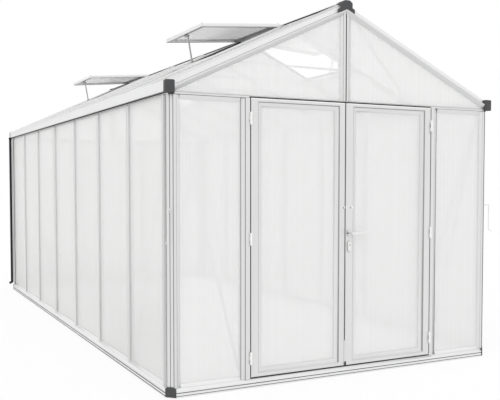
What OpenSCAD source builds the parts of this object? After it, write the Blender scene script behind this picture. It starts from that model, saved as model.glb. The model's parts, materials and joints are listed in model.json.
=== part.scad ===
// Long gabled greenhouse: aluminium frame, twin-wall polycarbonate panels, double doors,
// four open roof vents. Millimetres, +Z up, the front faces -Y, and the origin lies on the
// ground in the middle of the floor.

/* [Footprint] */
// Outer width of the base frame
base_w = 2520; // [2300:10:2800]
// Number of bays along each side wall
bays = 7; // [7:1:9]
// Distance between two side wall bars
bay_pitch = 730; // [690:5:760]
// Extra width of the bar that joins the two wall modules
joint_extra = 34; // [24:1:44]
// Distance from the outer base face to the middle of the first side bar, less one bay
corner_extra = 50; // [45:1:70]

/* [Base frame] */
// Height of the base rails
base_h = 58; // [54:1:70]
// Depth of the rails, posts and bars from the outer base face
frame_depth = 52; // [50:1:60]
// Chamfer on the base corners
base_chamfer = 42; // [34:1:46]
// Height of the upper groove in the base rails
groove_z = 27; // [22:1:32]
// Width of the grooves in the profiles
groove_w = 5; // [3:0.5:6]
// Depth of the grooves in the profiles
groove_d = 8; // [4:0.5:9]

/* [Walls] */
// Height of the posts and bars above the ground
wall_top = 1807; // [1700:1:1950]
// Setback of the post faces behind the outer base face
post_set = 9; // [7:1:14]
// Length along each wall of the chamfer on the corner posts
post_chamfer = 31; // [26:1:35]
// Reach of a corner post along each wall
post_reach = 84; // [80:1:95]
// Width of the slanted glazing bead beside a post or rail
bead_w = 14; // [8:1:16]
// Width of a roof bar's cap
bar_w = 36; // [30:1:44]
// Width of a wall bar's cap
wall_bar_w = 46; // [40:1:54]
// Width of the web between two panels
web_w = 14; // [10:1:18]
// Height of the transom at the eaves of the gable walls
transom_h = 15; // [12:1:15]

/* [Panels] */
// Thickness of the twin-wall sheets
sheet_t = 10; // [8:1:10]
// Setback of the sheets behind the faces of posts and bars
sheet_set = 9; // [8:1:12]

/* [Roof] */
// Roof pitch in degrees
pitch = 25; // [22:0.5:28]
// Height of the bar tops above the outer base face
eave_z = 1889; // [1885:1:1895]
// Height of a roof bar above the sheets
roof_cap_t = 12; // [8:1:14]
// Depth of the inner flange of a roof bar under the sheets
flange_t = 23; // [16:1:28]
// Width of the inner flange of a bar
flange_w = 30; // [24:1:32]
// Half the width of the ridge cover
ridge_half = 44; // [40:1:56]
// Half the width of the ridge body
ridge_core = 22; // [18:1:26]
// Distance from the base face to the outside of a gutter
gutter_out = 10; // [8:1:20]
// Height of the gutter underside
gutter_z = 1822; // [1815:1:1830]
// Wall of a gutter
gutter_t = 4; // [3:0.5:5]

/* [Roof vents] */
// Length of a vent leaf
vent_len = 652; // [560:5:700]
// Angle that a vent stands open above the slope, in degrees
vent_open = 20; // [12:1:30]
// Thickness of a vent frame
vent_t = 24; // [20:1:28]
// Width of a vent frame side
vent_side = 30; // [24:1:40]
// Radius of a vent prop
prop_r = 6; // [4:0.5:7]

/* [Doors] */
// Half the clear width between the door jambs
door_half = 714; // [680:2:740]
// Width of a jamb face
jamb_w = 31; // [26:1:40]
// Width of the slanted bead in the door leaves and beside the jambs
door_bead = 31; // [26:1:36]
// Gap round the door leaves
door_gap = 6.5; // [5:0.5:8]
// Width of a door stile
stile_w = 50; // [44:1:60]
// Height of the top and bottom door rails
rail_h = 21; // [18:1:30]
// Thickness of a door leaf
door_t = 36; // [32:1:40]
// Height of the door bottom above the base rail
door_lift = 11; // [8:1:14]
// Radius of a hinge barrel
hinge_r = 7; // [6:0.5:9]
// Length of a hinge barrel
hinge_len = 78; // [60:2:100]

/* [Door furniture] */
// Height of the lever above the ground
lever_z = 952; // [900:5:1050]
// Length of the lever
lever_len = 125; // [100:5:140]
// Distance from the door face to the lever
lever_out = 48; // [40:1:60]
// Height of the hook arms above the ground
hook_z = 1122; // [1000:5:1200]
// Length of the hanging hook rods
hook_len = 180; // [140:5:220]

/* [Hidden] */

$fn = 32;
eps = 0.01;
silver = [0.86, 0.87, 0.87];
plastic = [0.27, 0.27, 0.27];
sheet_col = [0.93, 0.94, 0.93, 0.8];

// Overall lengths
half_w = base_w / 2;
end_bay = bay_pitch + corner_extra;
base_l = 2 * end_bay + (bays - 2) * bay_pitch + joint_extra;
half_l = base_l / 2;
rail_end = frame_depth;

// The joint between the two wall modules lies behind the middle of the side
front_bays = ceil(bays / 2);

// Middle of side bar k, counted from the front, with k = front_bays for the joint bar
function bar_y(k) = -half_l + end_bay + (k - 1) * bay_pitch
    + (k == front_bays ? joint_extra / 2 : k > front_bays ? joint_extra : 0);
function bar_extra(k) = k == front_bays ? joint_extra : 0;

// Walls: setbacks are measured inwards from the outer base face
sheet_in = post_set + sheet_set;
sheet_back = sheet_in + sheet_t;
transom_top = wall_top + transom_h;
bead_rise = 22;
head_bead = 28;
edge_groove = 3;
edge_groove_d = 6;
foot_groove_z = 9;
foot_groove_h = 4;
fit_gap = 0.1;

// Roof: u runs down the slope from the ridge line, w stands up from the bar tops
ridge_z = eave_z + half_w * tan(pitch);
sheet_w1 = -roof_cap_t;
sheet_w0 = -roof_cap_t - sheet_t;
flange_w0 = sheet_w0 - flange_t;
function slope_x(u, w) = u * cos(pitch) + w * sin(pitch);
function slope_z(u, w) = ridge_z - u * sin(pitch) + w * cos(pitch);
function top_z(x) = ridge_z - x * tan(pitch);
function u_at(x, w) = (x - w * sin(pitch)) / cos(pitch);

// Rake: a narrow lip in front, a set-back upper face and a slanted bead below the lip
rake_low = -78;
rake_lip = -55;
rake_ledge = -49;
rake_foot_y = sheet_in;
rake_upper_y = 22;
rake_shoulder = -16;
rake_top_y = 52;
rake_in = 75;
rake_web = 45;
apex_half = 58;
knob_half = 40;
mitre_gap = 1;
eave_set = 17;
eave_cap_w = 49;
eave_cap_d = 30;
eave_cap_front = 3;

// Eave: the roof sheets end over the gutter
sheet_eave_x = half_w - 5;

// Vents stand in the second bay from each end
vent_bar_a = bar_y(1);
vent_bar_b = bar_y(2);
vent_y0 = vent_bar_a + bar_w / 2 + 2;
vent_y1 = vent_bar_b - bar_w / 2 - 2;
vent_mid = (vent_y0 + vent_y1) / 2;
vent_pitch = pitch - vent_open;
seat_gap = 0.3;
vent_hinge_x = ridge_half + seat_gap + vent_t / 2 * sin(vent_pitch);
vent_hinge_z = top_z(vent_hinge_x) + 3;
sill_w = 28;
sill_u1 = u_at(vent_hinge_x, 0) + vent_len;
sill_u0 = sill_u1 - sill_w;

// Doors
door_bottom = base_h + door_lift;
door_top = wall_top + 2;
door_head = door_top + door_gap;
leaf_out = door_half - door_gap;
hinge_y = -hinge_r - 1;
hinge_x = door_half - door_gap / 2;
hinge_zs = [190, 936, 1683];
hinge_leaf_w = 12;
hinge_leaf_t = 3;
hinge_pin_r = 3;
pin_gap = 0.1;
door_sheet_in = 18;
bead_step = 5;
bead_seat = 8;

// The leaves meet left of the middle, under the wider meeting stile of the right leaf
meet_x = 8.5;
meet_half = 53;
left_leaf_in = -meet_x - door_gap / 2;
right_leaf_in = meet_x - door_gap / 2;

// Places a shape on the right slope; the left one is its mirror image
module on_slope() {
    translate([0, 0, ridge_z]) rotate([0, pitch, 0]) children();
}

module both_sides() {
    children();
    mirror([1, 0, 0]) children();
}

module both_ends() {
    children();
    mirror([0, 1, 0]) children();
}

module four_corners() {
    both_sides() both_ends() children();
}

// Bars with a constant profile along one axis. The profile's points are (y, z), (x, z), (x, y).
module along_x(x0, x1, profile) {
    translate([x0, 0, 0]) rotate([90, 0, 90]) linear_extrude(x1 - x0) polygon(profile);
}

module along_y(y0, y1, profile) {
    translate([0, y1, 0]) rotate([90, 0, 0]) linear_extrude(y1 - y0) polygon(profile);
}

module along_z(z0, z1, profile) {
    translate([0, 0, z0]) linear_extrude(z1 - z0) polygon(profile);
}

module block(x0, x1, y0, y1, z0, z1) {
    translate([x0, y0, z0]) cube([x1 - x0, y1 - y0, z1 - z0]);
}

// ---------------------------------------------------------------- base frame

// Profile of a base rail with its two grooves, from the outer face at s0 inwards along dir
function rail_profile(s0, dir) = [
    [s0, 0],
    [s0, foot_groove_z],
    [s0 + dir * groove_d, foot_groove_z],
    [s0 + dir * groove_d, foot_groove_z + foot_groove_h],
    [s0, foot_groove_z + foot_groove_h],
    [s0, groove_z],
    [s0 + dir * groove_d, groove_z],
    [s0 + dir * groove_d, groove_z + groove_w],
    [s0, groove_z + groove_w],
    [s0, base_h - 14],
    [s0 + dir * 12, base_h],
    [s0 + dir * frame_depth, base_h],
    [s0 + dir * frame_depth, 0]
];

// Slanted bead in front of the sheets, which rises from z0 or hangs below it
function bead_profile(s0, dir, z0, rise) = [
    [s0 + dir * post_set, z0],
    [s0 + dir * post_set, z0 + sign(rise) * 2],
    [s0 + dir * sheet_in, z0 + rise],
    [s0 + dir * sheet_in, z0]
];

// Beads of the fixed front panels, between the corner posts and the door jambs
module front_beads(z0, rise) {
    both_sides() along_x(door_half + jamb_w + door_bead, half_w - post_reach,
        bead_profile(-half_l, 1, z0, rise));
}

module rear_beads(z0, rise) {
    for (k = [0 : 2]) {
        x0 = rear_x(k) + (k == 0 ? 0 : wall_bar_w / 2);
        x1 = rear_x(k + 1) - (k == 2 ? 0 : wall_bar_w / 2);
        along_x(x0, x1, bead_profile(half_l, -1, z0, rise));
    }
}

module front_base_rail() {
    color(silver) {
        along_x(-half_w + rail_end, half_w - rail_end, rail_profile(-half_l, 1));
        front_beads(base_h, bead_rise);
    }
}

module rear_base_rail() {
    color(silver) {
        along_x(-half_w + rail_end, half_w - rail_end, rail_profile(half_l, -1));
        rear_beads(base_h, bead_rise);
    }
}

module side_base_rail() {
    along_y(-half_l + rail_end, half_l - rail_end, rail_profile(-half_w, 1));
    for (k = [0 : bays - 1]) {
        along_y(bay_start(k, wall_bar_w), bay_end(k, wall_bar_w),
            bead_profile(-half_w, 1, base_h, bead_rise));
    }
}

// Ends of side bay k, with the bars' width as cut_w
function bay_start(k, cut_w) = k == 0 ? -half_l + post_reach
    : bar_y(k) + (cut_w + bar_extra(k)) / 2;
function bay_end(k, cut_w) = k == bays - 1 ? half_l - post_reach
    : bar_y(k + 1) - (cut_w + bar_extra(k + 1)) / 2;

module left_base_rail() {
    color(silver) side_base_rail();
}

module right_base_rail() {
    color(silver) mirror([1, 0, 0]) side_base_rail();
}

// Corner block of the base, bevelled above and below, with a low shoe in front of the
// post's chamfer
module base_corner_caps() {
    shoe_t = 4;
    shoe_h = 8;
    foot = 8;
    neck = 50;
    inset = 14;
    a = post_set;
    b = post_set + post_chamfer;
    s = shoe_t / sqrt(2);
    front = base_chamfer / sqrt(2);
    color(plastic) four_corners() translate([-half_w, -half_l, 0]) {
        intersection() {
            block(0, rail_end, 0, rail_end, 0, base_h);
            rotate([0, 0, 45]) along_y(-rail_end, rail_end, [
                [front + inset, 0],
                [front, foot],
                [front, neck],
                [(a + b) / sqrt(2) - shoe_t, neck],
                [(a + b) / sqrt(2) - shoe_t, base_h],
                [2 * rail_end, base_h],
                [2 * rail_end, 0]
            ]);
        }
        along_z(base_h - eps, base_h + shoe_h, [
            [a, b],
            [a - s, b - s],
            [b - s, a - s],
            [b, a]
        ]);
    }
}

// ---------------------------------------------------------------- posts and bars

// Corner post seen from above, with grooves in the middle and at the edges of the chamfer
module post_shape() {
    a = post_set;
    b = post_set + post_chamfer;
    m = (a + b) / 2;
    g = groove_w / 2 / sqrt(2);
    d = groove_d / sqrt(2);
    e = edge_groove;
    f = edge_groove_d;
    polygon([
        [a, b],
        [m - g, m + g],
        [m - g + d, m + g + d],
        [m + g + d, m - g + d],
        [m + g, m - g],
        [b, a],
        [b, a + f],
        [b + e, a + f],
        [b + e, a],
        [post_reach - bead_w, a],
        [post_reach, sheet_in],
        [post_reach, frame_depth],
        [frame_depth, frame_depth],
        [frame_depth, post_reach],
        [sheet_in, post_reach],
        [a, post_reach - bead_w],
        [a, b + e],
        [a + f, b + e],
        [a + f, b]
    ]);
}

module corner_post() {
    translate([-half_w, -half_l, base_h]) linear_extrude(wall_top - base_h) post_shape();
}

module front_corner_posts() {
    color(silver) both_sides() corner_post();
}

module rear_corner_posts() {
    color(silver) mirror([0, 1, 0]) both_sides() corner_post();
}

// Wall bar seen from above: outer cap, web between the sheets and inner flange
module wall_bar_shape(extra) {
    w = wall_bar_w + extra;
    difference() {
        translate([post_set, -w / 2]) square([sheet_set, w]);
        if (extra > 0) {
            translate([post_set - eps, -groove_w / 2]) square([groove_d, groove_w]);
        }
    }
    translate([post_set + sheet_set / 2, -(web_w + extra) / 2])
        square([sheet_t + sheet_set, web_w + extra]);
    translate([sheet_back, -(flange_w + extra) / 2])
        square([frame_depth - sheet_back, flange_w + extra]);
}

module side_bars() {
    for (k = [1 : bays - 1]) {
        translate([-half_w, bar_y(k), base_h])
            linear_extrude(wall_top - base_h) wall_bar_shape(bar_extra(k));
    }
}

module left_wall_bars() {
    color(silver) side_bars();
}

module right_wall_bars() {
    color(silver) mirror([1, 0, 0]) side_bars();
}

// The rear wall has two bars in three equal bays
function rear_x(k) = -half_w + post_reach + k * (base_w - 2 * post_reach) / 3;

module rear_wall_bars() {
    color(silver) for (k = [1, 2]) {
        translate([rear_x(k), half_l, base_h]) rotate([0, 0, -90])
            linear_extrude(wall_top - base_h) wall_bar_shape(0);
    }
}

// Door jamb: a flush face, a groove and the slanted bead of the fixed panel
module door_jambs() {
    color(silver) both_sides() {
        along_z(base_h, wall_top, [
            [-door_half, -half_l],
            [-door_half - jamb_w + 3, -half_l],
            [-door_half - jamb_w, -half_l + 3],
            [-door_half - jamb_w, -half_l + post_set],
            [-door_half - jamb_w - door_bead, -half_l + sheet_in],
            [-door_half - jamb_w - door_bead, -half_l + frame_depth],
            [-door_half, -half_l + frame_depth]
        ]);
    }
}

// ---------------------------------------------------------------- transoms and gables

module transom() {
    x = half_w - eave_cap_w;
    block(-x, x, -half_l + post_set, -half_l + frame_depth, wall_top, transom_top);
}

// The front transom is cut back over the doors
module transoms() {
    color(silver) {
        difference() {
            transom();
            block(-door_half, door_half, -half_l, -half_l + frame_depth + 1,
                wall_top - 1, door_head);
        }
        front_beads(wall_top, -head_bead);
        mirror([0, 1, 0]) transom();
        rear_beads(wall_top, -head_bead);
    }
}

// Rake profile as (y, w): the lip with its slanted bead, and the set-back upper face
rake_lower_profile = [
    [0, rake_lip],
    [rake_foot_y, rake_low],
    [rake_web, rake_low],
    [rake_web, rake_ledge],
    [0, rake_ledge]
];
rake_upper_profile = [
    [rake_upper_y, rake_ledge],
    [rake_upper_y, rake_shoulder],
    [rake_top_y, 0],
    [rake_in, 0],
    [rake_in, flange_w0],
    [rake_web, flange_w0],
    [rake_web, rake_ledge]
];

gable_half = 40;

// Half of the post between the gable panels, from its middle groove outwards
module gable_post_half() {
    strip = 20;
    face = -half_l + post_set;
    along_z(transom_top, ridge_z, [
        [-eps, face + 8],
        [groove_w / 2, face + 8],
        [groove_w / 2, face],
        [strip, face],
        [strip, face + edge_groove_d],
        [strip + edge_groove, face + edge_groove_d],
        [strip + edge_groove, face + 2],
        [gable_half, -half_l + sheet_in],
        [gable_half, -half_l + rake_web],
        [-eps, -half_l + rake_web]
    ]);
}

// The post stands from the transom to the underside of the rakes
module gable_post() {
    difference() {
        both_sides() gable_post_half();
        both_sides() on_slope() translate([0, -half_l, 0]) along_x(-100, 100, [
            [-1, rake_lip],
            [0, rake_lip],
            [rake_foot_y, rake_low],
            [frame_depth, rake_low],
            [frame_depth, half_w],
            [-1, half_w]
        ]);
    }
}

module gable_posts() {
    color(silver) both_ends() gable_post();
}

module rake() {
    intersection() {
        union() {
            on_slope() translate([0, -half_l, 0]) {
                along_x(-100, half_w * 1.2, rake_lower_profile);
            }
            intersection() {
                on_slope() translate([0, -half_l, 0])
                    along_x(-100, half_w * 1.2, rake_upper_profile);
                block(knob_half, half_w, -half_l, 0, 0, 2 * ridge_z);
            }
        }
        block(mitre_gap / 2, half_w - eave_cap_w, -half_l - 1, 0, 0, 2 * ridge_z);
    }
}

module rakes() {
    color(silver) four_corners() rake();
}

// Block at each end of a gutter, and the bent cap over each end of the ridge
module roof_end_caps() {
    color(plastic) {
        four_corners() eave_cap();
        both_ends() apex_cap();
    }
}

module eave_cap() {
    r = 6;
    neck_h = 6;
    neck_in = eave_set + 2;
    x0 = -half_w - gutter_out - 1;
    x1 = -half_w + eave_cap_w;
    block(-half_w + neck_in, x1, -half_l + neck_in, -half_l + eave_cap_d,
        wall_top, wall_top + neck_h + eps);
    along_y(-half_l - eave_cap_front, -half_l + eave_cap_d, [
        [x0, wall_top + neck_h],
        [x1, wall_top + neck_h],
        [x1, eave_z + 1 - r],
        [x1 - r, eave_z + 1],
        [x0 + r, eave_z + 1],
        [x0, eave_z + 1 - r]
    ]);
}

// A block over the end of the ridge, with a lower arm along each rake
module apex_cap() {
    under = (rake_ledge + fit_gap) / cos(pitch);
    arm_h = 26;
    arm_d = rake_upper_y - 1;
    edge = apex_half;
    knob = knob_half;
    flat = 18;
    along_y(-half_l - 4, -half_l + arm_d, [
        [-edge, top_z(edge) + under],
        [-edge, top_z(edge) + under + arm_h],
        [0, ridge_z + under + arm_h],
        [edge, top_z(edge) + under + arm_h],
        [edge, top_z(edge) + under],
        [0, ridge_z + under]
    ]);
    along_y(-half_l - 4, -half_l + rake_in, [
        [-knob, top_z(knob) + under],
        [-knob, top_z(knob) + 4],
        [-flat, ridge_z + 2],
        [flat, ridge_z + 2],
        [knob, top_z(knob) + 4],
        [knob, top_z(knob) + under],
        [0, ridge_z + under]
    ]);
}

// ---------------------------------------------------------------- eaves and ridge

// Open gutter with a plain fascia, fixed to the eave beam that carries the roof sheets
module side_gutter() {
    x_out = -half_w - gutter_out;
    x_in = -half_w + eave_set;
    x_back = -half_w + eave_cap_w;
    w = (sheet_w0 - fit_gap) / cos(pitch);
    lip_z = eave_z - 2;
    y0 = -half_l + eave_cap_d;
    along_y(y0, -y0, [
        [x_out, gutter_z],
        [x_out, lip_z],
        [x_out + gutter_t, lip_z],
        [x_out + gutter_t, gutter_z + gutter_t],
        [x_in, gutter_z + gutter_t],
        [x_in, top_z(-x_in) + w],
        [x_back, top_z(-x_back) + w],
        [x_back, wall_top],
        [x_in, wall_top],
        [x_in, wall_top + 6],
        [x_in - 6, wall_top + 6],
        [x_in - 6, gutter_z]
    ]);
}

module left_gutter() {
    color(silver) side_gutter();
}

module right_gutter() {
    color(silver) mirror([1, 0, 0]) side_gutter();
}

// Ridge beam with its cover over the upper ends of the sheets and bars
module ridge_beam() {
    a = ridge_half;
    b = ridge_core;
    w = (sheet_w1 + fit_gap) / cos(pitch);
    low = flange_w0 / cos(pitch) - 12;
    y0 = -half_l + rake_in;
    color(silver) along_y(y0, -y0, [
        [20, top_z(20) + 9],
        [a, top_z(a) + 2],
        [a, top_z(a) + w],
        [b, top_z(b) + w],
        [b, top_z(b) + low],
        [-b, top_z(b) + low],
        [-b, top_z(b) + w],
        [-a, top_z(a) + w],
        [-a, top_z(a) + 2],
        [-20, top_z(20) + 9]
    ]);
}

// ---------------------------------------------------------------- roof bars

// One bar on the right slope: cap from the eave to the ridge cover, web and inner flange
module roof_bar(y, extra) {
    w_cap = bar_w + extra;
    w_web = web_w + extra;
    w_in = flange_w + extra;
    intersection() {
        on_slope() translate([0, y, 0]) {
            block(0, half_w * 1.2, -w_cap / 2, w_cap / 2, sheet_w1, 0);
        }
        block(ridge_half, sheet_eave_x, -half_l, half_l, 0, 2 * ridge_z);
    }
    intersection() {
        on_slope() translate([0, y, 0]) {
            block(0, half_w * 1.2, -w_web / 2, w_web / 2, sheet_w0 - eps, sheet_w1 + eps);
        }
        block(ridge_core, sheet_eave_x, -half_l, half_l, 0, 2 * ridge_z);
    }
    intersection() {
        on_slope() translate([0, y, 0]) {
            block(0, half_w * 1.2, -w_in / 2, w_in / 2, flange_w0, sheet_w0);
        }
        block(ridge_core, half_w - eave_cap_w, -half_l, half_l, 0, 2 * ridge_z);
    }
}

// Sill under the free edge of a vent, between the two bars of its bay
module vent_sill() {
    on_slope() {
        block(sill_u0, sill_u1, vent_bar_a + flange_w / 2, vent_bar_b - flange_w / 2,
            flange_w0, sheet_w0 + eps);
        block(sill_u0, sill_u1, vent_bar_a + web_w / 2, vent_bar_b - web_w / 2,
            sheet_w0, sheet_w1);
        block(sill_u0, sill_u1, vent_bar_a + bar_w / 2, vent_bar_b - bar_w / 2,
            sheet_w1 - eps, 0);
    }
}

module vent_sills() {
    color(silver) four_corners() vent_sill();
}

module slope_bars() {
    for (k = [1 : bays - 1]) roof_bar(bar_y(k), bar_extra(k));
}

module left_roof_bars() {
    color(silver) mirror([1, 0, 0]) slope_bars();
}

module right_roof_bars() {
    color(silver) slope_bars();
}

// Flat tie across the roof at each pair of bars
module collar_ties() {
    tie_z = 2155;
    tie_h = 16;
    tie_t = 4;
    x = (ridge_z - tie_z - tie_h / 2 + sheet_w0 / cos(pitch)) / tan(pitch) - 2;
    color(silver) for (k = [1 : bays - 1]) {
        half = (flange_w + bar_extra(k)) / 2;
        // The ties beside a vent lie on the far side of their bar
        y = k == 1 || k == bays - 2 ? bar_y(k) - half - tie_t : bar_y(k) + half;
        block(-x, x, y, y + tie_t, tie_z - tie_h / 2, tie_z + tie_h / 2);
    }
}

// ---------------------------------------------------------------- braces

brace_w = 20;
brace_t = 4;

// Flat bar between two points (a, b) of a plane, as an outline
module brace_shape(p, q) {
    d = q - p;
    n = [-d[1], d[0]] / norm(d) * brace_w / 2;
    polygon([p + n, q + n, q - n, p - n]);
}

module wall_braces() {
    head = wall_top - 24;
    foot = base_h - 22;
    color(silver) {
        four_corners() {
            // Along the side wall, from the post to the foot of the first bar
            translate([-half_w + frame_depth, 0, 0]) rotate([90, 0, 90])
                linear_extrude(brace_t)
                    brace_shape([-half_l + post_reach - 12, head], [bar_y(1) - 10, foot]);
            // Along the gable wall, from the post to the foot of the door jamb
            translate([0, -half_l + frame_depth + brace_t, 0]) rotate([90, 0, 0])
                linear_extrude(brace_t)
                    brace_shape([-half_w + post_reach - 12, head],
                        [-door_half - jamb_w - 4, foot]);
        }
    }
}

module roof_braces() {
    u0 = u_at(apex_half + brace_w, flange_w0 - brace_t);
    u1 = (half_w - frame_depth - 20) / cos(pitch);
    color(silver) four_corners() on_slope()
        translate([0, 0, flange_w0 - brace_t]) linear_extrude(brace_t)
            brace_shape([u0, -half_l + (rake_web + rake_in) / 2], [u1, bar_y(1)]);
}

// ---------------------------------------------------------------- panels

module side_sheets() {
    for (k = [0 : bays - 1]) {
        block(-half_w + sheet_in, -half_w + sheet_back,
            bay_start(k, web_w), bay_end(k, web_w), base_h, wall_top);
    }
}

module left_wall_panels() {
    color(sheet_col) side_sheets();
}

module right_wall_panels() {
    color(sheet_col) mirror([1, 0, 0]) side_sheets();
}

module front_wall_panels() {
    color(sheet_col) both_sides() {
        block(-half_w + post_reach, -door_half - jamb_w - door_bead,
            -half_l + sheet_in, -half_l + sheet_back, base_h, wall_top);
    }
}

module rear_wall_panels() {
    color(sheet_col) for (k = [0 : 2]) {
        block(rear_x(k) + (k == 0 ? 0 : web_w / 2), rear_x(k + 1) - (k == 2 ? 0 : web_w / 2),
            half_l - sheet_back, half_l - sheet_in, base_h, wall_top);
    }
}

// Sheet between the transom, the gable post and the rake, cut off at the eave cap
module gable_panels() {
    under = rake_low / cos(pitch);
    x_tip = (ridge_z + under - transom_top) / tan(pitch);
    x_end = min(x_tip, half_w - eave_cap_w);
    color(sheet_col) four_corners() {
        along_y(-half_l + sheet_in, -half_l + sheet_back, [
            [-x_end, max(transom_top + eps, top_z(x_end) + under)],
            [-x_end, transom_top],
            [-gable_half, transom_top],
            [-gable_half, top_z(gable_half) + under]
        ]);
    }
}

// Sheet on the right slope from u0 or the ridge body down to the eave
module roof_sheet(y0, y1, u0) {
    intersection() {
        on_slope() block(u0, half_w * 1.2, y0, y1, sheet_w0, sheet_w1);
        block(ridge_core, sheet_eave_x, -half_l, half_l, 0, 2 * ridge_z);
    }
}

module slope_sheets() {
    for (k = [0 : bays - 1]) {
        y0 = k == 0 ? -half_l + rake_in : bar_y(k) + (web_w + bar_extra(k)) / 2;
        y1 = k == bays - 1 ? half_l - rake_in
            : bar_y(k + 1) - (web_w + bar_extra(k + 1)) / 2;
        roof_sheet(y0, y1, k == 1 || k == bays - 2 ? sill_u1 : 0);
    }
}

module left_roof_panels() {
    color(sheet_col) mirror([1, 0, 0]) slope_sheets();
}

module right_roof_panels() {
    color(sheet_col) slope_sheets();
}

// ---------------------------------------------------------------- roof vents

// Frame of an open vent leaf; u runs from its hinge to its free edge
module at_vent_hinge() {
    translate([vent_hinge_x, 0, vent_hinge_z]) rotate([0, vent_pitch, 0]) children();
}

sheet_in_vent = 6;

module vent_frame() {
    at_vent_hinge() difference() {
        block(0, vent_len, vent_y0, vent_y1, -vent_t / 2, vent_t / 2);
        block(vent_side, vent_len - vent_side, vent_y0 + vent_side, vent_y1 - vent_side,
            -vent_t, vent_t);
        vent_sheet();
    }
}

module vent_sheet() {
    e = vent_side - sheet_in_vent;
    block(e, vent_len - e, vent_y0 + e, vent_y1 - e, -sheet_t / 2, sheet_t / 2);
}

module vent_frames() {
    color(silver) four_corners() vent_frame();
}

module vent_panels() {
    color(sheet_col) four_corners() at_vent_hinge() vent_sheet();
}

// Prop from the sill to a bracket under the free side of the leaf
module vent_prop() {
    foot = 14;
    u_foot = sill_u0 + foot / 2;
    u_head = vent_len - vent_side - 10;
    a = vent_pitch;
    p = [slope_x(u_foot, foot / 2), slope_z(u_foot, foot / 2)];
    h0 = [vent_hinge_x, vent_hinge_z];
    dw = -vent_t / 2 - foot / 2;
    q = h0 + [u_head * cos(a) + dw * sin(a), -u_head * sin(a) + dw * cos(a)];
    d = q - p;
    on_slope() block(u_foot - foot / 2, u_foot + foot / 2,
        vent_mid - foot, vent_mid + foot, 0, foot);
    at_vent_hinge() block(u_head - foot / 2, vent_len - vent_side / 2,
        vent_mid - foot, vent_mid + foot, -vent_t / 2 - foot, -vent_t / 2);
    translate([p[0], vent_mid, p[1]]) rotate([0, atan2(d[0], d[1]), 0])
        cylinder(r = prop_r, h = norm(d));
}

module vent_props() {
    color([0.7, 0.7, 0.7]) four_corners() vent_prop();
}

// ---------------------------------------------------------------- downpipes and hooks

module downpipe() {
    r = 14;
    x = -half_w - r - 2;
    y = half_l - 64;
    low = 96;
    translate([x, y, low]) cylinder(r = r, h = gutter_z - low);
    translate([x, y, gutter_z - 26]) cylinder(r = r + 2, h = 26);
    translate([x, y, low]) sphere(r = r);
    translate([x, y, low]) rotate([0, -120, 0]) cylinder(r = r, h = 34);
}

module downpipes() {
    color([0.05, 0.05, 0.05]) both_sides() downpipe();
}

// Hold-open hook: an arm from the middle of the post's chamfer and a hanging rod
module door_hook() {
    reach = 36;
    rod_r = 3;
    arm = 12;
    m = post_set + post_chamfer / 2;
    translate([-half_w + m, -half_l + m, hook_z]) rotate([0, 0, 225]) {
        translate([0, -arm / 2, -arm]) cube([4, arm, 2 * arm]);
        translate([0, -4, -4]) cube([reach + 4, 8, 8]);
        translate([reach, 0, -hook_len]) cylinder(r = rod_r, h = hook_len);
        translate([reach, 0, -hook_len]) rotate([0, 120, 0]) cylinder(r = rod_r, h = 24);
        translate([reach, 0, -hook_len]) sphere(r = rod_r);
    }
}

module door_hooks() {
    color([0.93, 0.93, 0.92]) both_sides() door_hook();
}

// ---------------------------------------------------------------- doors

// Leaf on the left side in its closed place, up to x_in. Its face lies in the base plane.
module door_frame(x_in) {
    z0 = door_bottom;
    z1 = door_top;
    r = rail_h;
    y = -half_l;
    difference() {
        block(-leaf_out, x_in, y, y + door_t, z0, z1);
        block(-leaf_out + stile_w, -meet_half, y - 1, y + door_t + 1, z0 + r, z1 - r);
    }
    door_beads(-leaf_out + stile_w, -meet_half, z0 + r, z1 - r, y);
}

// Ring of slanted beads round the sheet of a leaf
module door_beads(x0, x1, z0, z1, y) {
    b = door_bead;
    g = 3;
    back = y + door_t - 4;
    front = y + bead_step;
    face = y + door_sheet_in;
    rear = face + sheet_t;
    e = b - bead_seat;
    difference() {
        union() {
            along_z(z0, z1, [
                [x0, face], [x0 + g, face], [x0 + g, front], [x0 + b, face],
                [x0 + b, back], [x0, back]
            ]);
            along_z(z0, z1, [
                [x1, face], [x1 - g, face], [x1 - g, front], [x1 - b, face],
                [x1 - b, back], [x1, back]
            ]);
            along_x(x0 + g, x1 - g, [
                [face, z0], [face, z0 + g], [front, z0 + g], [face, z0 + b],
                [back, z0 + b], [back, z0]
            ]);
            along_x(x0 + g, x1 - g, [
                [face, z1], [face, z1 - g], [front, z1 - g], [face, z1 - b],
                [back, z1 - b], [back, z1]
            ]);
        }
        block(x0 + e, x1 - e, face, rear, z0 + e, z1 - e);
    }
}

module door_panel() {
    e = door_bead - bead_seat;
    y = -half_l + door_sheet_in;
    block(-leaf_out + stile_w + e, -meet_half - e, y, y + sheet_t,
        door_bottom + rail_h + e, door_top - rail_h - e);
}

// Barrel hinges stand in front of the gap. The outer knuckles and the pin belong to the
// leaf, and the middle knuckle to the jamb.
module hinge_part(z0, z1, dir) {
    x = -hinge_x;
    translate([x, -half_l + hinge_y, z0]) cylinder(r = hinge_r, h = z1 - z0);
    block(min(x, x + dir * hinge_leaf_w), max(x, x + dir * hinge_leaf_w),
        -half_l - hinge_leaf_t, -half_l, z0, z1);
}

module door_hinge_set() {
    a = hinge_len / 2;
    b = hinge_len / 6;
    for (z = hinge_zs) {
        hinge_part(z - a, z - b, 1);
        hinge_part(z + b, z + a, 1);
        translate([-hinge_x, -half_l + hinge_y, z - b - 1])
            cylinder(r = hinge_pin_r, h = 2 * b + 2);
    }
}

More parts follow.
